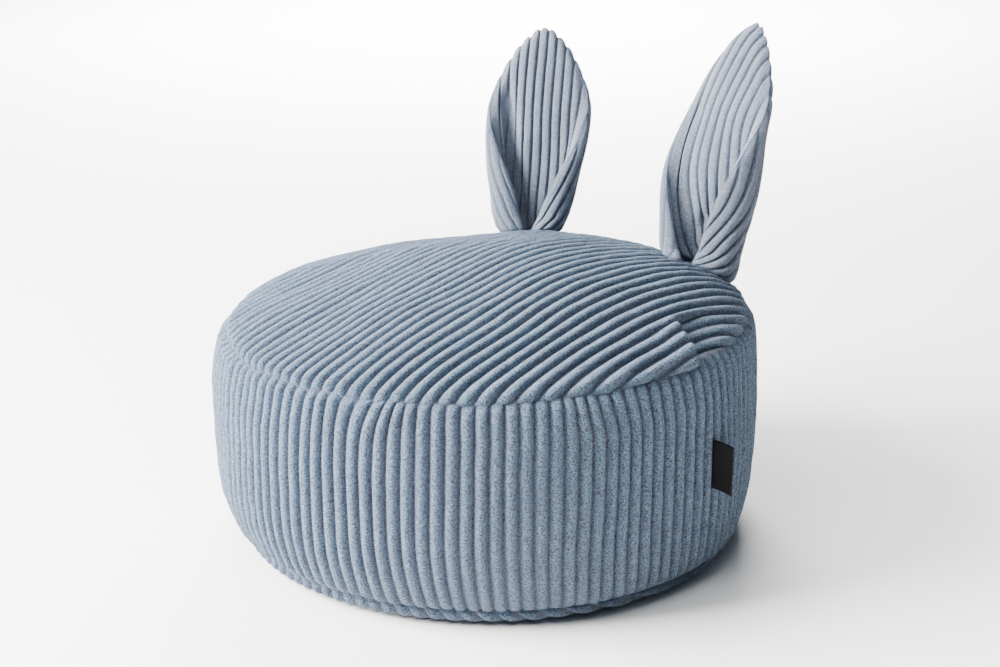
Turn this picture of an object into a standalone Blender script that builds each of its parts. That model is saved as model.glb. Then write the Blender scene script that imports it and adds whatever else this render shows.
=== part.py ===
"""Bean bag footstool: a round corduroy cushion with a crowned top, an upright side band,
a turned-up bottom panel, two folded ears standing on the back of the top seam, and a tag.

Front is -Y, up is +Z, and the origin is the middle of the flat foot. Units are metres.
"""
import math

import bmesh
import bpy
from mathutils import Vector

# Driving dimensions
GAP = 0.0003
CLOTH = 0.003
BODY_RADIUS = 0.250
FULLEST_Z = 0.115
TOP_SEAM_RADIUS = 0.2425
TOP_SEAM_Z = 0.2025
BOTTOM_SEAM_RADIUS = 0.236
BOTTOM_SEAM_Z = 0.0145
FOOT_RADIUS = 0.208
UPPER_FULLNESS = 3.2
LOWER_FULLNESS = 3.4
TURN_UP = 1.4
CROWN_HEIGHT = 0.0515
EDGE_ROLL = 0.010
AROUND = 56

# The filling has settled to one side, so the band is taller there and bulges out at both seams
SETTLE_DIRECTION = math.radians(43)
SETTLE_TOP = 0.0045
SETTLE_BOTTOM = -0.004
CROWN_LEAN = 0.020
TOP_LEAN = 0.0035
FOOT_LEAN = 0.004
LEAN_BAND = 0.35

# Pucker in the top panel where its cords run along the seam
PUCKER_AZIMUTH = math.radians(94)
PUCKER_RADIUS = 0.220
PUCKER_DEPTH = 0.006
PUCKER_LENGTH = 0.022
PUCKER_WIDTH = 0.012

# Ears: a padded leaf whose lower sides roll forward
EAR_SEAT_GAP = 0.0020
EAR_RIM_SLOPE = 0.5
EAR_RIM_REACH = 0.020
ROLL_RADIUS = 0.013
EAR_ROWS = 24
EAR_COLUMNS = 16
TWIST_SHARE = 0.70
SEAT_SHARE = 0.16
LAID_ASIDE_BELOW = (0.3, 0.85)
EAR_SECTIONS = [
    # share of length, flat half width, fold line from middle, turn in degrees, half thickness
    (0.00, 0.0602, 0.0110, 180, 0.0085),
    (0.16, 0.0659, 0.0172, 172, 0.0095),
    (0.35, 0.0694, 0.0264, 140, 0.0105),
    (0.56, 0.0597, 0.0343, 90, 0.0105),
    (0.72, 0.0492, 0.0386, 42, 0.0095),
    (0.85, 0.0354, 0.0303, 12, 0.0085),
    (0.94, 0.0212, 0.0195, 0, 0.0070),
    (1.00, 0.0060, 0.0055, 0, 0.0040),
]
# Each ear: its foot on the seat, how far the tip drifts, how much that bows, the way it faces at
# the base and above in degrees, how far the leaf is laid aside, and how much more the left side curls
EARS = {
    "ear_right": {"foot": (0.1060, 0.1873), "drift": (-0.0067, 0.0497), "bow": (0.0181, 0.0168),
                  "height": 0.2472, "facing": (39.0, -11.5), "aside": 0.0106, "left_curl": 1.0},
    "ear_left": {"foot": (-0.1109, 0.1916), "drift": (-0.0092, 0.0374), "bow": (-0.0016, -0.0015),
                 "height": 0.2232, "facing": (29.1, 30.3), "aside": -0.0016, "left_curl": 1.45},
}

# Side label, a folded tag standing out of the band's upright seam
LABEL_AZIMUTH = math.radians(94.5)
LABEL_MIDDLE_Z = 0.114
LABEL_HEIGHT = 0.044
LABEL_REACH = 0.020
LABEL_THICKNESS = 0.0016
LABEL_DROOP = 0.003


def clear_scene():
    for obj in list(bpy.data.objects):
        bpy.data.objects.remove(obj, do_unlink=True)


def smoothstep(t):
    t = min(max(t, 0.0), 1.0)
    return t * t * (3 - 2 * t)


def make_material(name, colour, roughness):
    material = bpy.data.materials.new(name)
    material.use_nodes = True
    shader = material.node_tree.nodes["Principled BSDF"]
    shader.inputs["Base Color"].default_value = (*colour, 1.0)
    shader.inputs["Roughness"].default_value = roughness
    shader.inputs["Metallic"].default_value = 0.0
    return material


def add_object(name, mesh, material, collection):
    obj = bpy.data.objects.new(name, mesh)
    collection.objects.link(obj)
    mesh.materials.append(material)
    mesh.shade_smooth()
    mesh.set_sharp_from_angle(angle=math.radians(50))
    return obj


# ---- the body: shapes in the (radius, height) plane ----

def crown_z(radius):
    """Height of the top panel: a soft roll at the seam, then a low crown."""
    share = min(radius / TOP_SEAM_RADIUS, 1.0)
    edge = EDGE_ROLL * math.sqrt(1 - share ** 10)
    return TOP_SEAM_Z + edge + (CROWN_HEIGHT - EDGE_ROLL) * (1 - share ** 2)


def band_radius(z):
    """Radius of the side band, fullest near mid height and drawn in at both seams."""
    if z > FULLEST_Z:
        share = (z - FULLEST_Z) / (TOP_SEAM_Z - FULLEST_Z)
        return BODY_RADIUS - (BODY_RADIUS - TOP_SEAM_RADIUS) * share ** UPPER_FULLNESS
    share = (FULLEST_Z - z) / (FULLEST_Z - BOTTOM_SEAM_Z)
    return BODY_RADIUS - (BODY_RADIUS - BOTTOM_SEAM_RADIUS) * share ** LOWER_FULLNESS


def foot_z(radius):
    """Underside: flat to the foot radius, then turned up to the lower seam."""
    share = max(radius - FOOT_RADIUS, 0.0) / (BOTTOM_SEAM_RADIUS - FOOT_RADIUS)
    return BOTTOM_SEAM_Z * min(share, 1.0) ** TURN_UP


def crown_points(drop):
    """Crown from the axis out to just inside the seam, lowered by a cloth thickness."""
    shares = (0.0, 0.2, 0.4, 0.6, 0.75, 0.86, 0.94, 0.985)
    points = [(share * TOP_SEAM_RADIUS, crown_z(share * TOP_SEAM_RADIUS) - drop) for share in shares]
    points.append((TOP_SEAM_RADIUS - drop / 2, TOP_SEAM_Z - drop / 2 + CLOTH / 2))
    return points


def foot_points(lift):
    """Underside from just inside the lower seam in to the axis, raised by a cloth thickness."""
    shares = (1.0, 0.85, 0.6, 0.3, 0.0)
    reach = BOTTOM_SEAM_RADIUS - FOOT_RADIUS
    points = [(FOOT_RADIUS + share * reach - lift / 2, foot_z(FOOT_RADIUS + share * reach) + lift)
              for share in shares]
    points += [(FOOT_RADIUS * 0.5, lift), (0.0, lift)]
    return points


def band_points():
    """Outer side of the band, from the top seam down to the lower seam."""
    count = 10
    top = TOP_SEAM_Z - CLOTH / 2
    bottom = BOTTOM_SEAM_Z + CLOTH + 2 * GAP
    heights = [top + (bottom - top) * smoothstep(step / count) for step in range(count + 1)]
    return [(band_radius(z), z) for z in heights]


def turned_mesh(name, points):
    """Turn a profile, listed from the axis at the top to the axis below, into a closed mesh."""
    profile = bpy.data.meshes.new(name + "_profile")
    vertices = [(radius, 0.0, z) for radius, z in points]
    edges = [(index, index + 1) for index in range(len(points) - 1)]
    profile.from_pydata(vertices, edges, [])
    holder = bpy.data.objects.new(name + "_profile", profile)
    bpy.context.scene.collection.objects.link(holder)
    screw = holder.modifiers.new("turn", "SCREW")
    screw.steps = AROUND
    screw.render_steps = AROUND
    screw.use_merge_vertices = True
    screw.merge_threshold = 0.00001
    graph = bpy.context.evaluated_depsgraph_get()
    mesh = bpy.data.meshes.new_from_object(holder.evaluated_get(graph))
    bpy.data.objects.remove(holder, do_unlink=True)
    mesh.name = name
    return mesh


def settled(point):
    """Where a point of the body settles: uneven seams, a leaning top, a pucker by the seam."""
    x, y, z = point
    radius = math.hypot(x, y)
    side = (x * math.cos(SETTLE_DIRECTION) + y * math.sin(SETTLE_DIRECTION)) / BODY_RADIUS
    rise = min(max((z - BOTTOM_SEAM_Z) / (TOP_SEAM_Z - BOTTOM_SEAM_Z), 0.0), 1.0)
    shift = side * (SETTLE_BOTTOM + (SETTLE_TOP - SETTLE_BOTTOM) * rise)
    shift *= min(z / BOTTOM_SEAM_Z, 1.0)
    lean = TOP_LEAN * max((rise - 1 + LEAN_BAND) / LEAN_BAND, 0.0) ** 1.5
    lean += FOOT_LEAN * max((LEAN_BAND - rise) / LEAN_BAND, 0.0) ** 1.5
    off_x = x - PUCKER_RADIUS * math.sin(PUCKER_AZIMUTH)
    off_y = y + PUCKER_RADIUS * math.cos(PUCKER_AZIMUTH)
    if z > TOP_SEAM_Z - 2 * CLOTH and radius < TOP_SEAM_RADIUS:
        shift += CROWN_LEAN * side * (1 - (radius / TOP_SEAM_RADIUS) ** 2)
        shift -= PUCKER_DEPTH * math.exp(-(off_x / PUCKER_LENGTH) ** 2 - (off_y / PUCKER_WIDTH) ** 2)
    return Vector((x + lean * math.cos(SETTLE_DIRECTION), y + lean * math.sin(SETTLE_DIRECTION), z + shift))


def settle(mesh):
    """Settle a body mesh, then cut its bent quads the same way in each layer, so layers nest."""
    bm = bmesh.new()
    bm.from_mesh(mesh)
    for vertex in bm.verts:
        vertex.co = settled(vertex.co)
    bmesh.ops.triangulate(bm, faces=bm.faces, quad_method="SHORT_EDGE")
    bm.to_mesh(mesh)
    bm.free()


def make_top_panel(material, collection):
    outer = crown_points(0.0)
    inner = crown_points(CLOTH)
    mesh = turned_mesh("top_panel", outer + inner[::-1])
    settle(mesh)
    return add_object("top_panel", mesh, material, collection)


def make_bottom_panel(material, collection):
    lower = foot_points(0.0)
    upper = foot_points(CLOTH)
    mesh = turned_mesh("bottom_panel", upper[::-1] + lower)
    settle(mesh)
    return add_object("bottom_panel", mesh, material, collection)


def make_side_band(material, collection):
    points = crown_points(CLOTH + GAP) + band_points() + foot_points(CLOTH + GAP)
    mesh = turned_mesh("side_band", points)
    settle(mesh)
    return add_object("side_band", mesh, material, collection)


# ---- the ears ----

def ear_values(share):
    """Half width, fold line, turn and half thickness at a share of the ear's length."""
    for low, high in zip(EAR_SECTIONS, EAR_SECTIONS[1:]):
        if share <= high[0]:
            part = (share - low[0]) / (high[0] - low[0])
            return [a + (b - a) * part for a, b in zip(low[1:], high[1:])]
    return list(EAR_SECTIONS[-1][1:])


def ear_centre(across, fold, turn):
    """Middle of the padded leaf at a distance across it, and the direction it faces there."""
    reach = abs(across)
    side = math.copysign(1.0, across)
    if reach <= fold:
        return across, 0.0, 0.0
    angle = min((reach - fold) / ROLL_RADIUS, turn)
    rest = max(reach - fold - ROLL_RADIUS * turn, 0.0)
    sideways = fold + ROLL_RADIUS * math.sin(angle) + rest * math.cos(angle)
    forward = ROLL_RADIUS * (1 - math.cos(angle)) + rest * math.sin(angle)
    return side * sideways, forward, side * angle


def ear_ring(share, ear):
    """One closed section of the ear in its own plane: sideways and forward of the middle."""
    half_width, fold, turn_degrees, half_thick = ear_values(share)
    low, high = LAID_ASIDE_BELOW
    aside = ear["aside"] * (1 - smoothstep((share - low) / (high - low)))
    ring = []
    for face in (1, -1):
        for step in range(EAR_COLUMNS):
            angle = math.pi * step / EAR_COLUMNS
            across = aside - face * half_width * math.cos(angle)
            curl = ear["left_curl"] if across < 0 else 1.0
            swell = face * half_thick * math.sin(angle)
            turn = min(math.radians(turn_degrees) * curl, math.pi)
            sideways, forward, facing = ear_centre(across, fold, turn)
            ring.append((sideways - swell * math.sin(facing), forward + swell * math.cos(facing)))
    return ring


def seat_height(x, y):
    """Top of the body under a point of an ear's base, falling away past the rim."""
    x -= TOP_LEAN * math.cos(SETTLE_DIRECTION)
    y -= TOP_LEAN * math.sin(SETTLE_DIRECTION)
    radius = math.hypot(x, y)
    past_rim = min(max(radius - TOP_SEAM_RADIUS, 0.0), EAR_RIM_REACH)
    top = settled((x, y, crown_z(min(radius, TOP_SEAM_RADIUS)))).z
    return top - EAR_RIM_SLOPE * past_rim + EAR_SEAT_GAP


def ear_point(share, sideways, forward, ear):
    """Place a point of an ear's section: turned to face its way, leaning, seated on the body."""
    base_facing, top_facing = ear["facing"]
    facing = math.radians(base_facing + (top_facing - base_facing) * smoothstep(share / TWIST_SHARE))
    x, y = (start + drift * share + bow * share ** 2
            for start, drift, bow in zip(ear["foot"], ear["drift"], ear["bow"]))
    x += sideways * math.cos(facing) + forward * math.sin(facing)
    y += sideways * math.sin(facing) - forward * math.cos(facing)
    z = TOP_SEAM_Z + ear["height"] * share
    seated = max(1 - share / SEAT_SHARE, 0.0)
    z += seated * (seat_height(x, y) - TOP_SEAM_Z) + (1 - seated) * 2 * CLOTH * (1 - share)
    return Vector((x, y, z))


def make_ear(name, ear, material, collection):
    bm = bmesh.new()
    loops = []
    for row in range(EAR_ROWS + 1):
        share = math.sin(math.pi / 2 * row / EAR_ROWS) ** 1.15
        ring = [bm.verts.new(ear_point(share, *point, ear)) for point in ear_ring(share, ear)]
        loops.append([bm.edges.new((a, b)) for a, b in zip(ring, ring[1:] + ring[:1])])
    for low, high in zip(loops, loops[1:]):
        bmesh.ops.bridge_loops(bm, edges=low + high)
    bmesh.ops.holes_fill(bm, edges=loops[0] + loops[-1], sides=0)
    bmesh.ops.triangulate(bm, faces=[face for face in bm.faces if len(face.verts) > 4])
    bmesh.ops.recalc_face_normals(bm, faces=bm.faces)
    mesh = bpy.data.meshes.new(name)
    bm.to_mesh(mesh)
    bm.free()
    return add_object(name, mesh, material, collection)


# ---- the side label ----

def make_side_label(material, collection):
    """A strip of tape folded on itself: rounded at the fold, open ends at the seam."""
    outline = bpy.data.curves.new("side_label", "CURVE")
    outline.dimensions = "2D"
    outline.fill_mode = "BOTH"
    outline.extrude = LABEL_HEIGHT / 2
    half = LABEL_THICKNESS / 2
    straight = LABEL_REACH - half
    points = [(straight * step / 4, -half) for step in range(5)]
    points += [(straight + half * math.cos(angle), half * math.sin(angle))
               for angle in (math.radians(degrees) for degrees in (-60, -30, 0, 30, 60))]
    points += [(straight * step / 4, half) for step in range(4, -1, -1)]
    spline = outline.splines.new("POLY")
    spline.points.add(len(points) - 1)
    spline.use_cyclic_u = True
    for spot, (out, across) in zip(spline.points, points):
        bend = LABEL_DROOP * (out / LABEL_REACH) ** 2
        spot.co = (out, across - bend, 0.0, 1.0)
    holder = bpy.data.objects.new("side_label_outline", outline)
    bpy.context.scene.collection.objects.link(holder)
    graph = bpy.context.evaluated_depsgraph_get()
    mesh = bpy.data.meshes.new_from_object(holder.evaluated_get(graph))
    bpy.data.objects.remove(holder, do_unlink=True)
    bm = bmesh.new()
    bm.from_mesh(mesh)
    bmesh.ops.remove_doubles(bm, verts=bm.verts, dist=0.00001)
    bmesh.ops.recalc_face_normals(bm, faces=bm.faces)
    bm.to_mesh(mesh)
    bm.free()
    label = add_object("side_label", mesh, material, collection)
    stand = BODY_RADIUS + GAP
    label.location = (stand * math.sin(LABEL_AZIMUTH), -stand * math.cos(LABEL_AZIMUTH), LABEL_MIDDLE_Z)
    label.rotation_euler = (0.0, 0.0, LABEL_AZIMUTH - math.pi / 2)
    return label


def build():
    clear_scene()
    collection = bpy.data.collections.new("bean_bag_footstool")
    bpy.context.scene.collection.children.link(collection)
    make_side_band(make_material("band_corduroy", (0.26, 0.35, 0.45), 0.95), collection)
    make_top_panel(make_material("top_corduroy", (0.28, 0.37, 0.46), 0.95), collection)
    make_bottom_panel(make_material("bottom_corduroy", (0.22, 0.30, 0.39), 0.95), collection)
    for name, ear in EARS.items():
        ear_material = make_material(name + "_corduroy", (0.33, 0.39, 0.47), 0.95)
        make_ear(name, ear, ear_material, collection)
    make_side_label(make_material("label_tape", (0.015, 0.015, 0.018), 0.7), collection)


build()
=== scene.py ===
# %% [markdown]
# # A corduroy bean bag footstool with two folded ears
# A round cushion of chunky corduroy: an upright band, a crowned top, a bottom panel that is
# turned up to the lower seam, two padded ears and a small bare tag. The plain solids of the frame
# give every size. This lesson replaces them with cloth that has its real cords, nap and seams.

# %% Load the frame
import math

import bmesh
import bpy
import numpy as np
from mathutils import Matrix, Vector


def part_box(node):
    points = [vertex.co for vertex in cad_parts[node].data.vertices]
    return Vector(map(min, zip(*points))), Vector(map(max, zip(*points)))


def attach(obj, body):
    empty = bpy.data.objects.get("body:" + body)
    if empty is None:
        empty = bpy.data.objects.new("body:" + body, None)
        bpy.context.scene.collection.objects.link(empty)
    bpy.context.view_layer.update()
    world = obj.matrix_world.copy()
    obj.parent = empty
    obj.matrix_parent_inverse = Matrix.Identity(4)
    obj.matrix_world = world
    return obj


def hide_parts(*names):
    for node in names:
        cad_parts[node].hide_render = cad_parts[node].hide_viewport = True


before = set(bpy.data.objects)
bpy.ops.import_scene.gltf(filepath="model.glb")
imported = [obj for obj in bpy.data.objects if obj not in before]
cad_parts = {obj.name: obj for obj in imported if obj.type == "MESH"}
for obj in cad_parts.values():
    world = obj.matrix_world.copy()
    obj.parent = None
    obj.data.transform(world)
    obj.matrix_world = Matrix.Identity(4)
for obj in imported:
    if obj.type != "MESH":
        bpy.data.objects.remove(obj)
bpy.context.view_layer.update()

# %% [markdown]
# ## Sizes of the body
# The radii are read from the boxes of the frame's solids, so the cloth lands where the solids are.

# %% Sizes read from the frame
band_low, band_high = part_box("side_band")
top_low, top_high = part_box("top_panel")
foot_low, foot_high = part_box("bottom_panel")
body_radius = (band_high[0] - band_low[0]) / 2
top_radius = (top_high[0] - top_low[0]) / 2
foot_seam_radius = (foot_high[0] - foot_low[0]) / 2
print("body", round(body_radius, 4), "top seam", round(top_radius, 4),
      "lower seam", round(foot_seam_radius, 4))

# %% [markdown]
# ## Shape of the body
# The body is a profile turned round the upright axis: nearly straight up the band, drawn in a
# little at each seam, then a low crown above and a flat foot below. A bean bag's filling never
# lies evenly, so the whole profile is afterwards shifted towards one side.

# %% Sizes of the profile and how it has settled
CLOTH = 0.003
TOP_SEAM_Z = 0.2025
FOOT_SEAM_Z = 0.0145
FULLEST_Z = 0.115
FOOT_RADIUS = 0.208
CROWN_HEIGHT = 0.0515
EDGE_ROLL = 0.010
UPPER_FULLNESS = 3.2
LOWER_FULLNESS = 3.4
TURN_UP = 1.4
ROLLED_UNDER = 0.85

SETTLE_DIRECTION = math.radians(43)
SETTLE_TOP = 0.0045
SETTLE_FOOT = -0.004
CROWN_LEAN = 0.020
TOP_LEAN = 0.0035
FOOT_LEAN = 0.004
LEAN_BAND = 0.35
SEAM_WANDER = 0.0011
SEAM_WANDER_SIZE = 0.030
SEAM_REACH = 0.012
lean_x = TOP_LEAN * math.cos(SETTLE_DIRECTION)
lean_y = TOP_LEAN * math.sin(SETTLE_DIRECTION)

# %% [markdown]
# ## Cord shape
# Corduroy is a cloth with raised ribs of cut pile. In section each rib is a full, rounded ridge
# with a narrow furrow on either side. One function gives that ridge for a whole array of points.
# Rows of points are drawn a little closer together at the furrows, where the surface turns most.
# The band has a whole number of cords round it, and the other panels share its pitch.

# %% Cord sizes
CORDS_ROUND = 127
CORD_FULLNESS = 0.80
CORD_FLATNESS = 2.2
CORD_ROUNDNESS = 0.55
CORD_CROWDING = 0.4
FURROW = 0.0046
TAG_AZIMUTH = math.radians(94.5)
cord_pitch = 2 * math.pi * body_radius / CORDS_ROUND
print("cords are", round(cord_pitch * 1000, 2), "mm apart")


def ridge(phase, fullness=CORD_FULLNESS, flatness=CORD_FLATNESS):
    """Height of a cord, 0 in the furrow and 1 on the crest, at a phase that counts cords."""
    across = np.abs(2 * (phase - np.floor(phase)) - 1) / fullness
    return np.clip(1 - across ** flatness, 0, 1) ** CORD_ROUNDNESS


def crowd(phase):
    """Shift points towards the nearest furrow."""
    return phase - CORD_CROWDING * np.sin(2 * math.pi * phase) / (2 * math.pi)


def rounded_end(distance, length):
    """Quarter round from 0 at a cord's end to 1 a length away."""
    share = np.clip(distance / length, 0, 1)
    return np.sqrt(1 - (1 - share) ** 2)


# %% [markdown]
# ## Unevenness
# No sewn thing is regular. Two sources of it are used throughout: a smooth field of long, low
# waves, for cloth that swells and strays, and one random number for each cord, for cords that are
# fuller or shorter than their neighbours. Every draw has its own seed, so each run is the same.

# %% Helpers for unevenness
WAVES = 9
WAVE_LEVEL = 3.2
SHORTEST_WAVE, LONGEST_WAVE = 0.6, 1.5
CORD_DRAWS = 512


def ease(low, high, value):
    share = np.clip((value - low) / (high - low), 0, 1)
    return share * share * (3 - 2 * share)


def bell(distance, width):
    return np.exp(-(distance / width) ** 2)


def unevenness(points, size, seed):
    """Smooth random field, about -1 to 1, whose bumps are about a size across."""
    draw = np.random.default_rng(seed)
    total = np.zeros(len(points))
    for _ in range(WAVES):
        direction = draw.normal(size=3)
        direction /= np.linalg.norm(direction)
        wave = 2 * math.pi * draw.uniform(SHORTEST_WAVE, LONGEST_WAVE) / (2 * size)
        total += np.sin(points @ direction * wave + draw.uniform(0, 2 * math.pi))
    return total / WAVE_LEVEL


def per_cord(phase, seed):
    """One random number, -1 to 1, for each cord."""
    table = np.random.default_rng(seed).uniform(-1, 1, CORD_DRAWS)
    return table[np.floor(phase).astype(int) % CORD_DRAWS]


# %% [markdown]
# ## Whole meshes at once
# The cords take some hundred thousand points a piece, so points are read, moved and written as
# arrays. Each piece also keeps the height of its cords as a number at every point, so that the
# material can tell a crest from a furrow and paint the furrows darker, as painted shade.

# %% Helpers that read and write whole meshes
MERGE = 0.00002


def read_points(mesh):
    flat = np.empty(len(mesh.vertices) * 3, np.float32)
    mesh.vertices.foreach_get("co", flat)
    return flat.reshape(-1, 3).astype(float)


def write_points(mesh, points):
    mesh.vertices.foreach_set("co", points.astype(np.float32).ravel())
    mesh.update()


def keep_value(mesh, name, values):
    """Store one number for each vertex, for the material to read."""
    layer = mesh.attributes.new(name, "FLOAT", "POINT")
    layer.data.foreach_set("value", np.asarray(values, np.float32))


def piece_from(bm, name):
    mesh = bpy.data.meshes.new(name)
    bm.to_mesh(mesh)
    bm.free()
    piece = bpy.data.objects.new(name, mesh)
    bpy.context.scene.collection.objects.link(piece)
    return piece


def finish_piece(piece, material):
    """Weld a piece, turn its faces outward, smooth it and give it its material."""
    mesh = piece.data
    bm = bmesh.new()
    bm.from_mesh(mesh)
    bmesh.ops.remove_doubles(bm, verts=bm.verts, dist=MERGE)
    bmesh.ops.recalc_face_normals(bm, faces=bm.faces)
    bm.to_mesh(mesh)
    bm.free()
    mesh.shade_smooth()
    mesh.materials.append(material)
    triangles = sum(len(face.vertices) - 2 for face in mesh.polygons)
    print(piece.name, triangles, "triangles")


# %% [markdown]
# ## Small helpers for materials
# Every finish here is made of the same few parts: a noise in the piece's own coordinates, a ramp
# that turns a number into a colour, and a mix of two colours.

# %% Helpers for materials
def link(tree, source, output, target, socket):
    tree.links.new(source.outputs[output], target.inputs[socket])


def noise_node(tree, coordinates, scale, detail, roughness):
    node = tree.nodes.new("ShaderNodeTexNoise")
    node.inputs["Scale"].default_value = scale
    node.inputs["Detail"].default_value = detail
    node.inputs["Roughness"].default_value = roughness
    link(tree, coordinates, "Object", node, "Vector")
    return node


def mix_node(tree, blend, factor):
    node = tree.nodes.new("ShaderNodeMix")
    node.data_type = "RGBA"
    node.blend_type = blend
    node.inputs["Factor"].default_value = factor
    return node


def ramp_node(tree, stops):
    node = tree.nodes.new("ShaderNodeValToRGB")
    ramp = node.color_ramp
    ramp.elements[0].position, ramp.elements[0].color = stops[0][0], (*stops[0][1], 1)
    ramp.elements[1].position, ramp.elements[1].color = stops[-1][0], (*stops[-1][1], 1)
    for place, colour in stops[1:-1]:
        ramp.elements.new(place).color = (*colour, 1)
    return node


def bump_node(tree, source, output, strength, distance):
    """A bump from a texture, linked to the material's shader."""
    node = tree.nodes.new("ShaderNodeBump")
    node.inputs["Strength"].default_value = strength
    node.inputs["Distance"].default_value = distance
    link(tree, source, output, node, "Height")
    link(tree, node, "Normal", tree.nodes["Principled BSDF"], "Normal")
    return node


# %% [markdown]
# ## Corduroy
# The material mixes a deep blue furrow colour and a paler crest colour by the height of the cord,
# which each piece stores: painted shade, darker down in the furrows. It then breaks that up with
# fine specks, painted shade in the pits where tufts part and painted highlights on the tufts, and
# with broad rubbed patches. Sheen gives the pale velvet edge, and a fine bump gives the nap. The
# ears have a paler copy of the same cloth with fewer specks: painted light, so that they come out
# brighter than the band.

# %% Corduroy material
PILE_ROUGHNESS = 0.92
PILE_SHEEN = 0.40
PILE_SHEEN_TINT = (0.86, 0.88, 1.0, 1)
SPECK_SCALE = 640
# Speck stops: painted shade in the pits where tufts part, plain tone, then painted highlights on the tufts.
SPECK_SHADE_AND_HIGHLIGHT_STOPS = [(0.41, (0.08, 0.11, 0.17)), (0.49, (0.86, 0.89, 0.94)), (0.59, (2.15, 2.05, 1.9))]
PATCH_SCALE = 22
PATCH_STOPS = [(0.3, (0.88, 0.9, 0.94)), (0.7, (1.1, 1.08, 1.05))]
NAP_SCALE = 620
NAP_STRENGTH = 0.9
NAP_HEIGHT = 0.0085


def make_corduroy(name, furrow, flank, crest, speckle):
    material = bpy.data.materials.new(name)
    material.use_nodes = True
    tree = material.node_tree
    shader = tree.nodes["Principled BSDF"]
    shader.inputs["Roughness"].default_value = PILE_ROUGHNESS
    shader.inputs["Specular IOR Level"].default_value = 0.15
    shader.inputs["Sheen Weight"].default_value = PILE_SHEEN
    shader.inputs["Sheen Roughness"].default_value = 0.45
    shader.inputs["Sheen Tint"].default_value = PILE_SHEEN_TINT
    place = tree.nodes.new("ShaderNodeTexCoord")

    # Painted shade: the colour darkens and turns bluer from the crest down to the furrow, by cord height.
    height = tree.nodes.new("ShaderNodeAttribute")
    height.attribute_name = "cord_height"
    tone = ramp_node(tree, [(0.0, furrow), (0.55, flank), (1.0, crest)])
    link(tree, height, "Fac", tone, "Fac")

    # Fine specks of painted shade and painted highlight that stand for the light on the nap.
    specks = noise_node(tree, place, SPECK_SCALE, 3, 0.8)
    speck_shade_and_highlight = ramp_node(tree, SPECK_SHADE_AND_HIGHLIGHT_STOPS)
    link(tree, specks, "Fac", speck_shade_and_highlight, "Fac")
    speckled = mix_node(tree, "MULTIPLY", speckle)
    link(tree, tone, "Color", speckled, "A")
    link(tree, speck_shade_and_highlight, "Color", speckled, "B")

    patches = noise_node(tree, place, PATCH_SCALE, 2, 0.5)
    patch_tone = ramp_node(tree, PATCH_STOPS)
    link(tree, patches, "Fac", patch_tone, "Fac")
    rubbed = mix_node(tree, "MULTIPLY", 1.0)
    link(tree, speckled, "Result", rubbed, "A")
    link(tree, patch_tone, "Color", rubbed, "B")
    link(tree, rubbed, "Result", shader, "Base Color")

    nap = noise_node(tree, place, NAP_SCALE, 3, 0.8)
    bump_node(tree, nap, "Fac", NAP_STRENGTH, NAP_HEIGHT)
    return material


# Furrow, flank and crest colours: darker and bluer towards the furrow, as painted shade.
corduroy = make_corduroy(
    "corduroy", speckle=1.0,
    furrow=(0.018, 0.048, 0.100), flank=(0.052, 0.110, 0.190), crest=(0.074, 0.142, 0.226))
# A paler copy of the cloth with fewer specks: painted light that makes the ears brighter than the band.
paler_lit_ear_cloth = make_corduroy(
    "ear_corduroy", speckle=0.40,
    furrow=(0.030, 0.060, 0.115), flank=(0.120, 0.166, 0.240), crest=(0.165, 0.207, 0.280))
print("materials", corduroy.name, paler_lit_ear_cloth.name)

# %% [markdown]
# ## The settled body
# The three panels of the body share one shape: a radius for the band, a height for the crown and
# a height for the underside, all shifted by the same gentle field, so their edges still meet at
# the seams.

# %% Shape of the settled body
def settle(points):
    """Shift body points: uneven seams, a crown that leans and two ends pushed to one side."""
    x, y, z = points.T
    side = (x * math.cos(SETTLE_DIRECTION) + y * math.sin(SETTLE_DIRECTION)) / body_radius
    rise = np.clip((z - FOOT_SEAM_Z) / (TOP_SEAM_Z - FOOT_SEAM_Z), 0, 1)
    shift = side * (SETTLE_FOOT + (SETTLE_TOP - SETTLE_FOOT) * rise) * np.clip(z / FOOT_SEAM_Z, 0, 1)
    inside = np.clip(1 - (x * x + y * y) / top_radius ** 2, 0, 1)
    shift += np.where(z > TOP_SEAM_Z - 2 * CLOTH, CROWN_LEAN * side * inside, 0)
    seam = np.column_stack([np.arctan2(x, -y), np.zeros(len(x)), np.zeros(len(x))]) * body_radius
    near_seam = bell(z - TOP_SEAM_Z, SEAM_REACH) * ease(0.9, 1.0, np.hypot(x, y) / top_radius)
    shift += SEAM_WANDER * unevenness(seam, SEAM_WANDER_SIZE, 2) * near_seam
    lean = np.clip((rise - 1 + LEAN_BAND) / LEAN_BAND, 0, 1) ** 1.5
    lean += FOOT_LEAN / TOP_LEAN * np.clip((LEAN_BAND - rise) / LEAN_BAND, 0, 1) ** 1.5
    return np.column_stack([x + lean_x * lean, y + lean_y * lean, z + shift])


def crown_height(x, y):
    share = np.clip(np.hypot(x, y) / top_radius, 0, 1)
    edge = EDGE_ROLL * np.sqrt(1 - share ** 10)
    return TOP_SEAM_Z + edge + (CROWN_HEIGHT - EDGE_ROLL) * (1 - share ** 2)


def band_radius(z):
    above = np.clip((z - FULLEST_Z) / (TOP_SEAM_Z - FULLEST_Z), 0, 1)
    below = np.clip((FULLEST_Z - z) / (FULLEST_Z - FOOT_SEAM_Z), 0, 1)
    drawn_in = (body_radius - top_radius) * above ** UPPER_FULLNESS
    return body_radius - drawn_in - (body_radius - foot_seam_radius) * below ** LOWER_FULLNESS


def underside(x, y):
    share = np.clip((np.hypot(x, y) - FOOT_RADIUS) / (foot_seam_radius - FOOT_RADIUS), 0, 1)
    rounded = 1 - np.sqrt(1 - share ** 2)
    return FOOT_SEAM_Z * (share ** TURN_UP + ROLLED_UNDER * (rounded - share ** TURN_UP))


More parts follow.
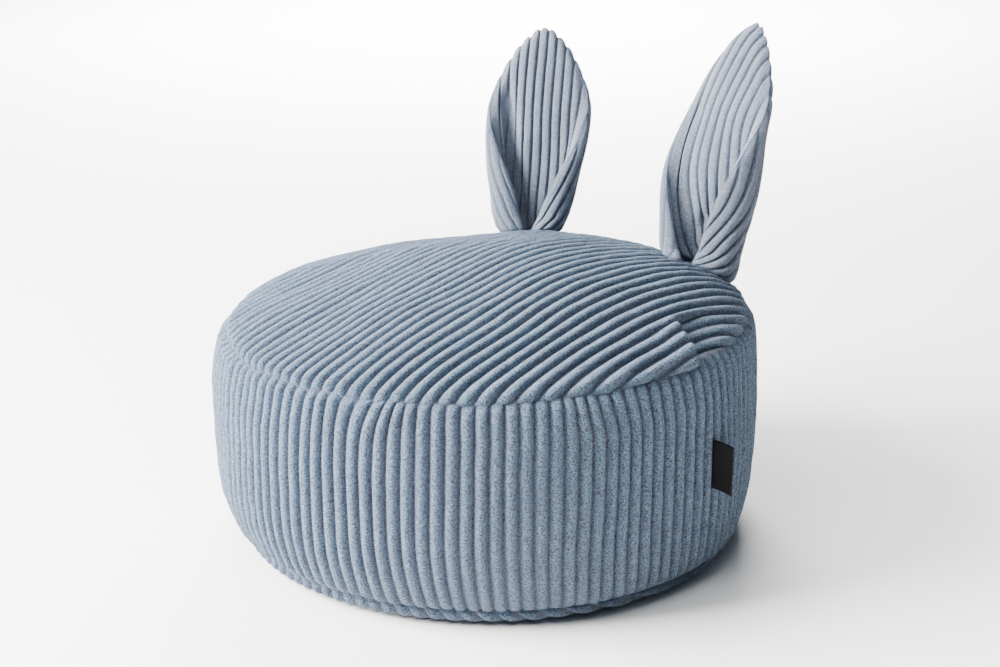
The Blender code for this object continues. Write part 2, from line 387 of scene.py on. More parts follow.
# %% [markdown]
# ## How the band's cords stray
# The cords of the band are upright, but they wander a little, and near the top seam they are
# pulled askew in two places, where the sewing has taken up spare cloth: a narrow gather at the
# front and a broad one at the side with the tag.

# %% Stray of the band's cords
GATHER_DEPTH = 0.040
GATHER_FALL = 1.6
FRONT_PULL = 0.0085
FRONT_GATHER = 19
FRONT_GATHER_WIDTH = 6
SIDE_PULL = 0.0080
SIDE_GATHER_START = (55, 66)
SIDE_GATHER_END = (112, 80)


def sway(degrees, from_top, spot):
    """How far the cords stray sideways: a little everywhere, and pulled askew at two gathers."""
    stray = 0.0009 * unevenness(spot, 0.070, 8)
    stray += 0.0008 * unevenness(spot, 0.030, 9) * ease(0.07, 0.012, from_top)
    near_top = np.clip(1 - from_top / GATHER_DEPTH, 0, 1) ** GATHER_FALL
    stray += FRONT_PULL * near_top * bell(degrees - FRONT_GATHER, FRONT_GATHER_WIDTH)
    stray -= SIDE_PULL * near_top * ease(*SIDE_GATHER_START, degrees) * ease(*SIDE_GATHER_END, degrees)
    return stray


# %% [markdown]
# ## Side band
# The band is a strip of corduroy with its cords upright, sewn to a loop. A flat grid with ten
# columns to each cord is wrapped full circle, starting at the upright seam where the tag is. Its
# points are then moved out and in: the cord gives each its height, and both ends of every cord
# are rounded and tucked into a seam. The strip's ends are welded and its rims carried inwards.

# %% Side band
BAND_ROWS = 74
STEPS_PER_CORD = 10
ROW_CROWDING = 0.09
END_SPREAD = 0.0008
TOP_END, FOOT_END = 0.006, 0.007
TUCK, TUCK_REACH = 0.0026, 0.004
BAND_INSET = 0.0006
BAND_SWELL = 0.0013
RIM_SCALE = (0.96, 0.96, 1)


def shape_band(mesh):
    u, v, _ = read_points(mesh).T
    share = (v + 1) / 2
    share = share - ROW_CROWDING * np.sin(4 * math.pi * share) / math.pi
    azimuth = TAG_AZIMUTH + (u + 1) * math.pi
    height = TOP_SEAM_Z - FOOT_SEAM_Z
    z = FOOT_SEAM_Z + height * share
    phase = np.rint((u + 1) / 2 * CORDS_ROUND * STEPS_PER_CORD) / STEPS_PER_CORD % CORDS_ROUND
    spot = np.column_stack([body_radius * np.sin(azimuth), -body_radius * np.cos(azimuth), z])
    from_top = height * (1 - share) - END_SPREAD * (1 + per_cord(phase, 3))
    from_foot = height * share - END_SPREAD * (1 + per_cord(phase, 4))
    end = rounded_end(from_top, TOP_END) * rounded_end(from_foot, FOOT_END)
    cord = ridge(crowd(phase)) * end
    plump = 1 + 0.09 * per_cord(phase, 5) + 0.07 * unevenness(spot, 0.016, 6)
    tuck = TUCK * (bell(from_top, TUCK_REACH) + bell(from_foot, TUCK_REACH))
    radius = band_radius(z) - FURROW - BAND_INSET - tuck + FURROW * cord * plump
    radius += BAND_SWELL * unevenness(spot, 0.085, 7) * end
    turn = azimuth + (crowd(phase) - phase) * 2 * math.pi / CORDS_ROUND
    turn += sway(np.degrees(azimuth) % 360, from_top, spot) / body_radius
    write_points(mesh, settle(np.column_stack([radius * np.sin(turn), -radius * np.cos(turn), z])))
    keep_value(mesh, "cord_height", cord)


def close_band(piece):
    """Join the strip's two ends and carry both rims inwards to a closed ring."""
    bm = bmesh.new()
    bm.from_mesh(piece.data)
    bmesh.ops.remove_doubles(bm, verts=bm.verts, dist=MERGE)
    middle = (TOP_SEAM_Z + FOOT_SEAM_Z) / 2
    inner = []
    for upper in (False, True):
        rim = [edge for edge in bm.edges if edge.is_boundary and (edge.verts[0].co.z > middle) == upper
               and edge not in inner]
        made = bmesh.ops.extrude_edge_only(bm, edges=rim)["geom"]
        turned_in = [item for item in made if isinstance(item, bmesh.types.BMVert)]
        bmesh.ops.scale(bm, vec=RIM_SCALE, verts=turned_in)
        inner += [item for item in made if isinstance(item, bmesh.types.BMEdge) and item.is_boundary]
    bmesh.ops.bridge_loops(bm, edges=inner)
    bm.to_mesh(piece.data)
    bm.free()


bm = bmesh.new()
bmesh.ops.create_grid(bm, x_segments=CORDS_ROUND * STEPS_PER_CORD, y_segments=BAND_ROWS, size=1)
band = piece_from(bm, "corduroy_band")
shape_band(band.data)
close_band(band)
finish_piece(band, corduroy)

# %% [markdown]
# ## Discs of corduroy
# The top is a disc of corduroy crowned over the filling, its cords running from front to back,
# and the bottom is another, turned up at its edge. A grid is squeezed into the disc along the
# cords only, so that every cord keeps its width and ends at the seam. Cords rise along the
# surface's own direction, which wraps them over the edge.

# %% Helpers for a corduroy disc
LENGTH_STEPS = 4000
SLOPE_STEP = 0.0004


def cloth_length(height_at, radius):
    """Table of distances from the middle, flat and along the cloth, straight across a panel."""
    flat = radius * np.linspace(0, 1, LENGTH_STEPS) ** 0.8
    flat[-1] = radius
    rise = height_at(flat, np.zeros(len(flat)))
    return flat, np.concatenate([[0], np.cumsum(np.hypot(np.diff(flat), np.diff(rise)))])


def make_disc(name, radius, lengths, across, along):
    """A grid whose columns lie along the cords, squeezed into a disc."""
    bm = bmesh.new()
    bmesh.ops.create_grid(bm, x_segments=across, y_segments=along, size=1)
    piece = piece_from(bm, name)
    u, v, _ = read_points(piece.data).T
    flat, cloth = lengths
    x = np.sign(u) * np.interp(np.abs(u) * cloth[-1], cloth, flat)
    v = 0.45 * v + 0.55 * np.sin(math.pi / 2 * v)
    y = v * np.sqrt(np.clip(radius ** 2 - x ** 2, 0, None))
    write_points(piece.data, np.column_stack([x, y, np.zeros(len(x))]))
    return piece


def close_disc(piece, drop):
    """Turn the edge in under the panel and close it, so that no open edge is left."""
    bm = bmesh.new()
    bm.from_mesh(piece.data)
    bmesh.ops.remove_doubles(bm, verts=bm.verts, dist=MERGE)
    rim = [edge for edge in bm.edges if edge.is_boundary]
    made = bmesh.ops.extrude_edge_only(bm, edges=rim)["geom"]
    turned_in = [item for item in made if isinstance(item, bmesh.types.BMVert)]
    bmesh.ops.scale(bm, vec=RIM_SCALE, verts=turned_in)
    bmesh.ops.translate(bm, vec=(0, 0, drop), verts=turned_in)
    loop = [item for item in made if isinstance(item, bmesh.types.BMEdge) and item.is_boundary]
    cap = bmesh.ops.holes_fill(bm, edges=loop, sides=0)["faces"]
    bmesh.ops.poke(bm, faces=cap)
    bm.to_mesh(piece.data)
    bm.free()


def outward(height_at, x, y, sign):
    """Unit direction out of a surface z = height(x, y)."""
    dx = (height_at(x + SLOPE_STEP, y) - height_at(x - SLOPE_STEP, y)) / (2 * SLOPE_STEP)
    dy = (height_at(x, y + SLOPE_STEP) - height_at(x, y - SLOPE_STEP)) / (2 * SLOPE_STEP)
    normal = np.column_stack([-dx, -dy, np.ones(len(x))]) * sign
    return normal / np.linalg.norm(normal, axis=1)[:, None]


# %% [markdown]
# ## The dart
# At one side the cords run along the seam, and there the top has a small dart: a short crease
# from the seam inwards that takes up spare cloth. The cords in front of it swell and end in round
# tips, and those behind come out from under them, lower and half a cord further in.

# %% Dart
DART_SEAM = (0.2400, 0.0060)
DART_TIP = (0.1960, 0.0260)
DART_GAP = 0.0018
DART_ROUND = 0.008
DART_RAISED = 0.0050
DART_LOWERED = 0.0078
DART_CREASE, DART_CREASE_WIDTH = 0.0045, 0.004


def dart_fields(x, y):
    """Distance past the dart along the cords, and how strong the dart is here."""
    share = (DART_SEAM[0] - x) / (DART_SEAM[0] - DART_TIP[0])
    line = DART_SEAM[1] + (DART_TIP[1] - DART_SEAM[1]) * share
    return y - line, ease(1.08, 0.75, share)


def dart_rise(past, strength):
    """Cloth swells before the dart, dips in its crease, and lies lower behind it."""
    before = ease(-0.040, -0.003, past) * (past < 0)
    behind = ease(0.055, 0.004, past) * (past >= 0)
    crease = bell(past, DART_CREASE_WIDTH)
    return strength * (DART_RAISED * before - DART_LOWERED * behind - DART_CREASE * crease)


# %% [markdown]
# ## Top panel
# The disc is laid over the crown, its cords raised, and their ends rounded at the seam and at the
# dart. It swells and dips gently as a filled seat does.

# %% Top panel
TOP_COLUMNS, TOP_ROWS = 400, 242
TOP_CORD_END = 0.0075
TOP_TUCK, TOP_TUCK_REACH = 0.003, 0.005
TOP_SWELL = 0.0016
TOP_STRAY = 0.0013
RIM_DROP = 0.004


def shape_top(mesh):
    x, y, _ = read_points(mesh).T
    along_cloth = np.sign(x) * np.interp(np.abs(x), *top_lengths)
    phase = along_cloth / cord_pitch + 0.5
    crowded = np.sign(x) * np.interp(np.abs(crowd(phase) - 0.5) * cord_pitch, *top_lengths[::-1])
    reach = top_radius - np.hypot(x, y)
    past, strength = dart_fields(x, y)
    spot = np.column_stack([x, y, np.zeros(len(x))])
    end = rounded_end(reach - 0.0005 * (1 + per_cord(phase, 13)), TOP_CORD_END)
    # The cords end at the dart, so its gap also takes the furrow colour: painted shade in the crease.
    end = end * (1 - strength * (1 - rounded_end(np.abs(past) - DART_GAP, DART_ROUND)))
    cord = ridge(crowd(phase)) * end
    plump = 1 + 0.08 * per_cord(phase, 15) + 0.08 * unevenness(spot, 0.016, 16)
    rise = -FURROW + FURROW * cord * plump - TOP_TUCK * bell(reach, TOP_TUCK_REACH)
    rise += TOP_SWELL * unevenness(spot, 0.080, 17) * ease(0, 0.03, reach)
    rise += dart_rise(past, strength)
    stray = TOP_STRAY * unevenness(spot, 0.060, 18) * ease(0, 0.02, reach)
    stray -= 0.5 * cord_pitch * strength * (past > 0) * ease(0.07, 0.02, past)
    base = np.column_stack([x, y, crown_height(x, y)])
    points = base + outward(crown_height, x, y, 1) * rise[:, None]
    points[:, 0] += crowded - x + stray
    write_points(mesh, settle(points))
    keep_value(mesh, "cord_height", cord)


top_lengths = cloth_length(crown_height, top_radius)
top = make_disc("corduroy_top", top_radius, top_lengths, TOP_COLUMNS, TOP_ROWS)
shape_top(top.data)
close_disc(top, -RIM_DROP)
finish_piece(top, corduroy)

# %% [markdown]
# ## Bottom panel
# Only the turned-up edge of the bottom panel is seen, where its cord ends make a row like a
# twisted rope under the band. Where it carries the weight it is pressed flat on the floor.

# %% Bottom panel
FOOT_COLUMNS, FOOT_ROWS = 300, 160
FOOT_CORD_END = 0.006
FOOT_TUCK, FOOT_TUCK_REACH = 0.003, 0.004


def shape_bottom(mesh):
    x, y, _ = read_points(mesh).T
    along_cloth = np.sign(x) * np.interp(np.abs(x), *foot_lengths)
    phase = along_cloth / cord_pitch
    crowded = np.sign(x) * np.interp(np.abs(crowd(phase)) * cord_pitch, *foot_lengths[::-1])
    reach = foot_seam_radius - np.hypot(x, y)
    end = rounded_end(reach - 0.0005 * (1 + per_cord(phase, 23)), FOOT_CORD_END)
    cord = ridge(crowd(phase)) * end
    rise = -FURROW + FURROW * cord - FOOT_TUCK * bell(reach, FOOT_TUCK_REACH)
    base = np.column_stack([x, y, underside(x, y)])
    points = base + outward(underside, x, y, -1) * rise[:, None]
    points[:, 0] += crowded - x
    points = settle(points)
    points[:, 2] = np.maximum(points[:, 2], 0.0)
    write_points(mesh, points)
    keep_value(mesh, "cord_height", cord)


foot_lengths = cloth_length(underside, foot_seam_radius)
bottom = make_disc("corduroy_bottom", foot_seam_radius, foot_lengths, FOOT_COLUMNS, FOOT_ROWS)
shape_bottom(bottom.data)
close_disc(bottom, RIM_DROP)
finish_piece(bottom, corduroy)

# %% [markdown]
# ## Ears
# Each ear is a leaf of two corduroy panels, lightly padded and sewn round the edge. Its cords run
# up it and end at the edge, which gives the scalloped tip. The lower sides roll forward and are
# gathered at the seam. One table gives the flat leaf and its rolling, section by section, and one
# entry for each ear says where it stands, how it leans and how it differs from the other.

# %% Ear sizes
EAR_LENGTH = 0.24
EAR_FURROW = 0.0036
EAR_CORD_FULLNESS = 0.90
EAR_CORD_FLATNESS = 3.2
EAR_SUNK = 0.003
EAR_RIM_SLOPE, EAR_RIM_REACH = 1.2, 0.02
ROLL_RADIUS = 0.013
TWIST_SHARE = 0.70
SEAT_SHARE = 0.16
EAR_SECTIONS = np.array([
    # share of length, flat half width, fold line from middle, turn in degrees, half thickness
    (0.00, 0.0602, 0.0110, 180, 0.0085),
    (0.16, 0.0659, 0.0172, 172, 0.0095),
    (0.35, 0.0694, 0.0264, 140, 0.0105),
    (0.56, 0.0597, 0.0343, 90, 0.0105),
    (0.72, 0.0492, 0.0386, 42, 0.0095),
    (0.85, 0.0354, 0.0303, 12, 0.0085),
    (0.94, 0.0212, 0.0216, 0, 0.0070),
    (1.00, 0.0060, 0.0060, 0, 0.0040),
])
WIDTH, FOLD, TURN, THICK = 1, 2, 3, 4
EARS = {
    "ear_right": {
        "foot": (0.1035, 0.1850), "drift": (-0.0042, 0.0520), "bow": (0.0181, 0.0168),
        "height": 0.2472, "facing": (39.0, -11.5), "offset": 0.0106, "pitch": 0.0115,
        "slant": 0.130, "slant_from": 0.58, "left_curl": 1.0, "trough": 0.003, "tack": 0.25,
        "hang": 0.011},
    "ear_left": {
        "foot": (-0.1109, 0.1916), "drift": (-0.0092, 0.0374), "bow": (-0.0016, -0.0015),
        "height": 0.2232, "facing": (29.1, 30.3), "offset": -0.0016, "pitch": 0.0093,
        "slant": 0.0, "slant_from": 0.5, "left_curl": 1.55, "trough": 0.012, "tack": 0.0,
        "hang": 0.0},
}


def ear_column(share, column):
    """A column of the table of sections, with smooth changes between its rows."""
    places = EAR_SECTIONS[:, 0]
    values = EAR_SECTIONS[:, column]
    slopes = np.gradient(values, places)
    row = np.clip(np.searchsorted(places, share, side="right") - 1, 0, len(places) - 2)
    span = places[row + 1] - places[row]
    t = np.clip((share - places[row]) / span, 0, 1)
    return ((2 * t ** 3 - 3 * t ** 2 + 1) * values[row] + (t ** 3 - 2 * t ** 2 + t) * span * slopes[row]
            + (3 * t ** 2 - 2 * t ** 3) * values[row + 1] + (t ** 3 - t ** 2) * span * slopes[row + 1])


# %% [markdown]
# ## The flat leaf
# On the flat leaf the cords are straight lines, though on one ear they wander across it. Each
# column of a grid is given to one line, and runs from where that line enters the leaf to where it
# leaves it, so that no cord is cut through by a row of the grid.

# %% Lines of the flat leaf
LEAF_STEPS = 1200
LAID_ASIDE_BELOW = (0.3, 0.85)


def cord_shift(share, ear):
    """How far the cords have wandered across the leaf at this height."""
    return ear["slant"] * (share - ear["slant_from"]) ** 2


def leaf_middle(share, ear):
    """Middle of the leaf, which is laid to one side of the folds low down."""
    return ear["offset"] * (1 - ease(*LAID_ASIDE_BELOW, share))


def cord_lines(u, ear):
    """Spread the columns of a grid over every cord line, and find the ends of each."""
    shares = np.linspace(0, 1, LEAF_STEPS)
    widths = ear_column(shares, WIDTH)
    middle = leaf_middle(shares, ear) - cord_shift(shares, ear)
    first, last = (middle - widths).min(), (middle + widths).max()
    columns, column_of = np.unique(np.round(u, 6), return_inverse=True)
    lines = first + (last - first) * (columns + 1) / 2
    ends = []
    for line in lines:
        gap = np.abs(line - middle) - widths
        inside = shares[gap <= 0]
        ends.append((inside[0], inside[-1]) if len(inside) else (shares[gap.argmin()],) * 2)
    return lines[column_of], *np.array(ends)[column_of].T


# %% [markdown]
# ## Rolling and standing the ear
# The leaf stays flat between its fold lines and curls forward past them, round a small radius and
# then straight on. Each section is then turned to face its way, and the foot follows the crown of
# the seat. Where it hangs over the seam it drops with it.

# %% Bending and placing an ear
def roll_turn(share, left, ear):
    """Angle in radians through which the leaf has curled when it is past its fold."""
    turn = np.radians(np.clip(ear_column(share, TURN), 0, 180))
    return np.where(left, np.minimum(turn * ear["left_curl"], math.pi), turn)


def bend_leaf(across, swell, share, ear):
    """Sideways and forward place of a point of the padded leaf, rolled past its fold line."""
    fold = ear_column(share, FOLD)
    turn = roll_turn(share, across < 0, ear)
    side = np.sign(across)
    reach = np.abs(across)
    angle = np.clip((reach - fold) / ROLL_RADIUS, 0, turn)
    rest = np.clip(reach - fold - ROLL_RADIUS * turn, 0, None)
    sideways = np.minimum(reach, fold) + ROLL_RADIUS * np.sin(angle) + rest * np.cos(angle)
    forward = ROLL_RADIUS * (1 - np.cos(angle)) + rest * np.sin(angle)
    return side * (sideways - swell * np.sin(angle)), forward + swell * np.cos(angle)


def seat_under(x, y):
    """Height of the ground for an ear's foot: the settled crown, falling away past the rim."""
    x, y = x - lean_x, y - lean_y
    ground = settle(np.column_stack([x, y, crown_height(x, y)]))[:, 2] - EAR_SUNK
    return ground - EAR_RIM_SLOPE * np.clip(np.hypot(x, y) - top_radius, 0, EAR_RIM_REACH)


def place_ear(share, sideways, forward, ear):
    """Turn a section to face its way, lean it, and seat its foot on the crown by the seam."""
    base_facing, top_facing = ear["facing"]
    facing = np.radians(base_facing + (top_facing - base_facing) * ease(0, TWIST_SHARE, share))
    x = ear["foot"][0] + ear["drift"][0] * share + ear["bow"][0] * share ** 2
    y = ear["foot"][1] + ear["drift"][1] * share + ear["bow"][1] * share ** 2
    x = x + sideways * np.cos(facing) + forward * np.sin(facing)
    y = y + sideways * np.sin(facing) - forward * np.cos(facing)
    seated = np.clip(1 - share / SEAT_SHARE, 0, None)
    ground = seat_under(x, y) - ear["hang"] * ease(0.005, 0.040, sideways)
    z = TOP_SEAM_Z + ear["height"] * share + seated * (ground - TOP_SEAM_Z)
    z += (1 - seated) * 2 * CLOTH * (1 - share)
    return np.column_stack([x, y, z])


# %% [markdown]
# ## Padding and cords of an ear
# Each panel swells from nothing at the sewn edge to the padding's half thickness, and carries its
# cords on that. Round the outside of a roll the cords are stretched apart. A trough lies beside
# the rolled lip, and on one ear a tack low down pulls the two lips together.

# %% One panel of an ear
TIP_NOTCH = 0.003
EDGE_FULLNESS = 3.5
TIP_ROUND, FOOT_ROUND = 0.010, 0.006
CORD_TIP_END, CORD_FOOT_END, CORD_SIDE_END = 0.006, 0.008, 0.002
CORD_FOOT_GAP, CORD_FOOT_SPREAD = 0.010, 0.002
ROLL_STRETCH = 0.4
TROUGH_FROM_FOLD, TROUGH_WIDTH = 0.005, 0.008
EAR_SWELL = 0.0008
TACK_DEPTH, TACK_WIDTH = 0.007, 0.010
TACK_PULL, TACK_PULL_HIGH, TACK_PULL_WIDE = 0.45, 0.030, 0.025


def place_on_leaf(u, w, ear):
    """Cord line, share of the length, distance across and tip of each point of the grid."""
    line, low, high = cord_lines(u, ear)
    notch = TIP_NOTCH * (1 - ridge(line / ear["pitch"] + 0.5)) / EAR_LENGTH * ease(0.6, 0.8, high)
    high = high - notch * (high - low > 0.1)
    share = low + (high - low) * np.sin(math.pi / 2 * w)
    return line, share, line + cord_shift(share, ear), high


def ear_phase(line, across, share, face, ear, spot, seed):
    """Count of cords across the leaf, stretched on the outside of a roll."""
    thick = np.clip(ear_column(share, THICK), 0.002, None)
    roll = ROLL_RADIUS * roll_turn(share, across < 0, ear)
    rolled = np.clip(np.abs(across) - ear_column(share, FOLD), 0, roll)
    stretch = -ROLL_STRETCH * face * thick / ROLL_RADIUS * rolled
    stray = 0.06 * unevenness(spot, 0.05, seed)
    return (line + np.sign(across) * stretch) / ear["pitch"] + 0.5 + stray


def ear_face(u, w, face, ear, seed):
    """One corduroy panel of an ear as (across, swell, share, cord height)."""
    line, share, across, high = place_on_leaf(u, w, ear)
    half_width = np.maximum(ear_column(share, WIDTH), 1e-5)
    thick = np.clip(ear_column(share, THICK), 0.002, None)
    spot = np.column_stack([across, share * EAR_LENGTH, np.full(len(u), face * 0.1)])
    phase = ear_phase(line, across, share, face, ear, spot, seed)
    from_side = np.clip(1 - np.abs(across - leaf_middle(share, ear)) / half_width, 0, 1)
    from_tip = np.clip((high - share) * EAR_LENGTH, 0, None)
    from_foot = share * EAR_LENGTH
    edge = np.sqrt(np.clip(1 - (1 - from_side) ** EDGE_FULLNESS, 0, 1)) * rounded_end(from_tip, TIP_ROUND)
    edge = np.where(w >= 0.9999, 0, edge * rounded_end(from_foot, FOOT_ROUND))
    cord_foot = from_foot - CORD_FOOT_GAP - CORD_FOOT_SPREAD * per_cord(phase, seed + 1)
    end = rounded_end(from_tip, CORD_TIP_END) * rounded_end(cord_foot, CORD_FOOT_END)
    end = end * rounded_end(from_side * half_width, CORD_SIDE_END)
    cord = ridge(phase, EAR_CORD_FULLNESS, EAR_CORD_FLATNESS) * end
    relief = EAR_FURROW * (cord * (1 + 0.1 * per_cord(phase, seed + 2)) - 0.9)
    beside_lip = bell(across + ear_column(share, FOLD) - TROUGH_FROM_FOLD, TROUGH_WIDTH)
    trough = ear["trough"] * beside_lip * ease(0.82, 0.62, share) * (face > 0)
    swell = (thick + relief - trough + EAR_SWELL * unevenness(spot, 0.03, seed + 3)) * edge
    swell = face * np.maximum(swell, 0)
    if ear["tack"]:
        from_tack = (share - ear["tack"]) * EAR_LENGTH
        pull = np.exp(-(from_tack / TACK_PULL_HIGH) ** 2 - (across / TACK_PULL_WIDE) ** 2)
        swell -= TACK_DEPTH * np.exp(-(from_tack / TACK_WIDTH) ** 2 - (across / TACK_WIDTH) ** 2) * (face > 0)
        across = across * (1 - TACK_PULL * pull)
    return across, swell, share, cord


# %% [markdown]
# ## Sewing an ear together
# A front and a back panel are made from the same grid, bent and placed, and welded round the edge
# where both come down to nothing.

# %% Making the ears
EAR_COLUMNS = 190
EAR_ROWS = 116
EAR_WELD = 0.00008


def make_ear(name, ear, seed):
    panels = []
    for face in (1, -1):
        bm = bmesh.new()
        bmesh.ops.create_grid(bm, x_segments=EAR_COLUMNS, y_segments=EAR_ROWS, size=1)
        if face < 0:
            bmesh.ops.reverse_faces(bm, faces=bm.faces)
        panel = piece_from(bm, name + ("_front" if face > 0 else "_back"))
        u, v, _ = read_points(panel.data).T
        across, swell, share, cord = ear_face(u, (v + 1) / 2, face, ear, seed + 10 * face)
        sideways, forward = bend_leaf(across, swell, share, ear)
        write_points(panel.data, place_ear(share, sideways, forward, ear))
        keep_value(panel.data, "cord_height", cord)
        panels.append(panel)
    bm = bmesh.new()
    for panel in panels:
        bm.from_mesh(panel.data)
    bmesh.ops.remove_doubles(bm, verts=bm.verts, dist=EAR_WELD)
    print(name, "open edges", sum(edge.is_boundary for edge in bm.edges))
    ear_piece = piece_from(bm, "corduroy_" + name)
    for panel in panels:
        bpy.data.objects.remove(panel, do_unlink=True)
    return ear_piece


ears = {}
for number, (name, ear) in enumerate(EARS.items()):
    ears[name] = make_ear(name, ear, 40 + 100 * number)
    finish_piece(ears[name], paler_lit_ear_cloth)

# %% [markdown]
# ## Black tape
# The tag is woven tape: nearly black, slightly shiny, with a fine rib across it.

# %% Tape material
TAPE_PLAIN = (0.012, 0.013, 0.016, 1)
TAPE_DARK, TAPE_LIGHT = (0.0025, 0.0025, 0.003), (0.008, 0.008, 0.009)


def make_tag_material():
    material = bpy.data.materials.new("black_tape")
    material.use_nodes = True
    tree = material.node_tree
    shader = tree.nodes["Principled BSDF"]
    shader.inputs["Base Color"].default_value = TAPE_PLAIN
    shader.inputs["Roughness"].default_value = 0.6
    shader.inputs["Specular IOR Level"].default_value = 0.2
    place = tree.nodes.new("ShaderNodeTexCoord")
    weave = tree.nodes.new("ShaderNodeTexWave")
    weave.bands_direction = "Z"
    weave.inputs["Scale"].default_value = 420
    weave.inputs["Distortion"].default_value = 0.6
    link(tree, place, "Object", weave, "Vector")
    tone = ramp_node(tree, [(0.0, TAPE_DARK), (1.0, TAPE_LIGHT)])
    link(tree, weave, "Color", tone, "Fac")
    link(tree, tone, "Color", shader, "Base Color")
    bump_node(tree, weave, "Color", 0.5, 0.0002)
    return material


# %% [markdown]
# ## Side tag
# A strip of tape folded in two and caught in the band's upright seam. It is a sheet bent round at
# the fold, given the tape's thickness, and nothing is written on it. It bends and droops a little
# as it comes out of the seam.

# %% Tag
TAG_LAYER = 0.0005
TAG_FOLD = 0.0005
TAG_COLUMNS, TAG_ROWS = 48, 24
TAG_SUNK = 0.004
TAG_STRETCH = 1.18
TAG_BEND = 0.0030
TAG_WAVE = 0.0006
TAG_DROOP = 0.0016
tag_low, tag_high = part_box("side_label")


def make_tag():
    reach = tag_high[0] - tag_low[0]
    height = tag_high[2] - tag_low[2]
    bm = bmesh.new()
    bmesh.ops.create_grid(bm, x_segments=TAG_COLUMNS, y_segments=TAG_ROWS, size=1)
    piece = piece_from(bm, "side_tag")
    u, v, _ = read_points(piece.data).T
    straight = reach - TAG_FOLD
    quarter = TAG_FOLD * math.pi / 2
    run = u * (straight + quarter)
    at_fold = np.abs(run) < quarter
    out = np.where(at_fold, straight + TAG_FOLD * np.cos(run / TAG_FOLD), straight - (np.abs(run) - quarter))
    across = np.where(at_fold, TAG_FOLD * np.sin(run / TAG_FOLD), TAG_FOLD * np.sign(run))
    across = across - TAG_BEND * (out / reach) ** 2 + TAG_WAVE * np.sin(v * 2.0 + 0.4) * out / reach
    from_axis = body_radius - TAG_SUNK + out * TAG_STRETCH
    z = (tag_low[2] + tag_high[2]) / 2 + v * height / 2 - TAG_DROOP * (out / reach) ** 2
    write_points(piece.data, np.column_stack([
        from_axis * math.sin(TAG_AZIMUTH) - across * math.cos(TAG_AZIMUTH),
        -from_axis * math.cos(TAG_AZIMUTH) + across * math.sin(TAG_AZIMUTH),
        z,
    ]))
    wall = piece.modifiers.new("tape", "SOLIDIFY")
    wall.thickness = TAG_LAYER
    wall.offset = 0
    return piece


tag = make_tag()
finish_piece(tag, make_tag_material())

# %% [markdown]
# ## Riding and replacing
# Every piece rides on the one body of the frame and stands for the plain solid it replaces. The
# body's panels and the ears are filled cloth, and the tag is a folded strip with a flat size.

stands_for = {
    band: ("side_band", "band_corduroy"),
    top: ("top_panel", "top_corduroy"),
    bottom: ("bottom_panel", "bottom_corduroy"),
    ears["ear_right"]: ("ear_right", "ear_corduroy"),
    ears["ear_left"]: ("ear_left", "ear_corduroy"),
    tag: ("side_label", "label_tape"),
}
for piece, (node, slot) in stands_for.items():
    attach(piece, "root")
    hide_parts(node)
print("pieces", [piece.name for piece in stands_for])

# %% [markdown]
# ## Floor
# A plain white floor, wide enough that its edges stay out of sight.

# %% Floor
bm = bmesh.new()
bmesh.ops.create_grid(bm, x_segments=1, y_segments=1, size=8)
floor = piece_from(bm, "floor")
floor_finish = bpy.data.materials.new("white_floor")
floor_finish.use_nodes = True
floor_shader = floor_finish.node_tree.nodes["Principled BSDF"]
floor_shader.inputs["Base Color"].default_value = (0.92, 0.92, 0.92, 1)
floor_shader.inputs["Roughness"].default_value = 0.8
floor.data.materials.append(floor_finish)
print("floor", tuple(round(side, 1) for side in floor.dimensions))

# %% [markdown]
# ## Camera
# The camera stands at one front corner, a little above the seat and looking down at it, as one
# would see it from across a room. It is aimed a touch to one side and rolled by a hair.

# %% Camera
VIEW_AZIMUTH = math.radians(43)
VIEW_DOWN = 0.3185
VIEW_DISTANCE = 1.66
VIEW_HEIGHT = 0.1827
VIEW_TURN = 0.0090
VIEW_ROLL = -0.0104
LENS = 64.8

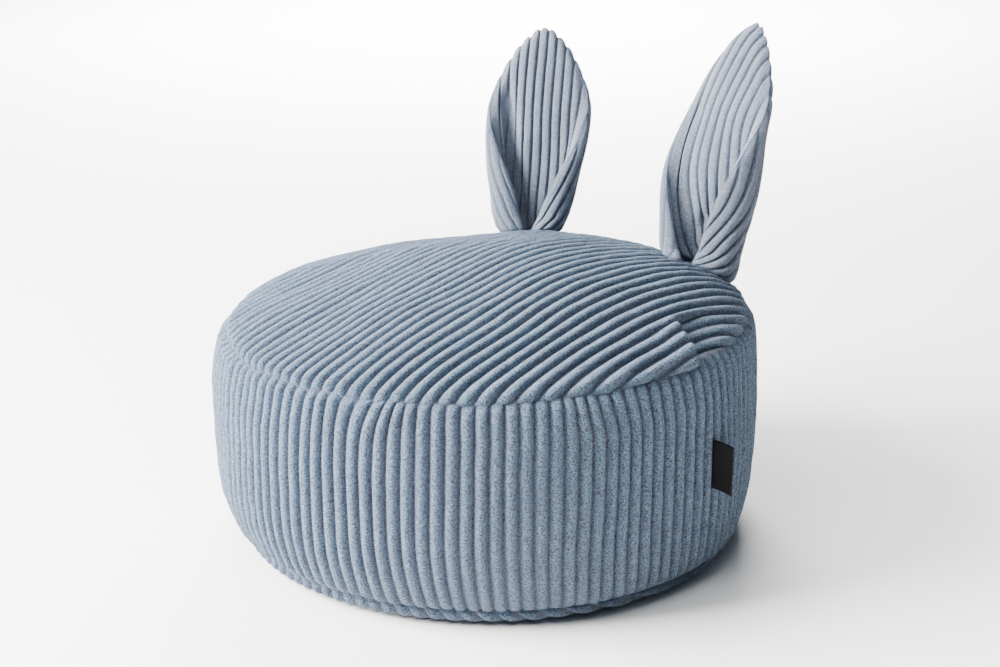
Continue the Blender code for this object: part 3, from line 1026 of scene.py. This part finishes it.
back = Vector((math.sin(VIEW_AZIMUTH) * math.cos(VIEW_DOWN), -math.cos(VIEW_AZIMUTH) * math.cos(VIEW_DOWN),
               math.sin(VIEW_DOWN)))
right = Vector((math.cos(VIEW_AZIMUTH), math.sin(VIEW_AZIMUTH), 0))
forward = (-back + right * math.sin(VIEW_TURN)).normalized()
eye = bpy.data.cameras.new("camera")
eye.lens = LENS
eye.sensor_width = 36
eye.clip_end = 50
camera = bpy.data.objects.new("camera", eye)
bpy.context.scene.collection.objects.link(camera)
camera.location = Vector((0, 0, VIEW_HEIGHT)) + back * VIEW_DISTANCE
aim = forward.to_track_quat("-Z", "Y").to_matrix()
camera.rotation_euler = (aim @ Matrix.Rotation(VIEW_ROLL, 3, "Z")).to_euler()
bpy.context.scene.camera = camera
print("camera", tuple(round(value, 3) for value in camera.location))

# %% [markdown]
# ## Light
# A large soft light comes from the left, so the cords' right flanks fall into shade. A weaker one
# above opens the top, two more wash the floor behind, and a faint blue sky fills the rest.

# %% Lights
WARM, NEAR_WHITE = (1.0, 0.96, 0.92), (1.0, 0.99, 0.98)
AIM_HEIGHT = 0.15
SKY = (0.72, 0.87, 1.0, 1)
SKY_STRENGTH = 0.12


def soft_light(name, azimuth, height, distance, size, power, colour, reach=0.0, spread=180):
    """An area light at an azimuth from the camera, aimed at the seat, or at the floor at a reach."""
    lamp = bpy.data.lights.new(name, "AREA")
    lamp.size = size
    lamp.energy = power
    lamp.spread = math.radians(spread)
    lamp.color = colour
    holder = bpy.data.objects.new(name, lamp)
    bpy.context.scene.collection.objects.link(holder)
    angle = VIEW_AZIMUTH + math.radians(azimuth)
    holder.location = (distance * math.sin(angle), -distance * math.cos(angle), height)
    target = Vector((reach * math.sin(angle), -reach * math.cos(angle), 0 if reach else AIM_HEIGHT))
    holder.rotation_euler = (target - holder.location).to_track_quat("-Z", "Y").to_euler()


soft_light("key", -82, height=1.35, distance=2.0, size=1.5, power=520, colour=WARM)
soft_light("top", -55, height=2.3, distance=0.7, size=1.8, power=76, colour=NEAR_WHITE)
soft_light("floor_far", 180, height=2.4, distance=3.4, size=2.6, power=300, colour=NEAR_WHITE,
           reach=3.4, spread=75)
soft_light("floor_wash", 178, height=2.6, distance=3.1, size=2.0, power=340, colour=NEAR_WHITE,
           reach=2.0)
world = bpy.data.worlds.new("studio")
bpy.context.scene.world = world
world.use_nodes = True
world.node_tree.nodes["Background"].inputs["Color"].default_value = SKY
world.node_tree.nodes["Background"].inputs["Strength"].default_value = SKY_STRENGTH
print("lights", [item.name for item in bpy.data.lights])
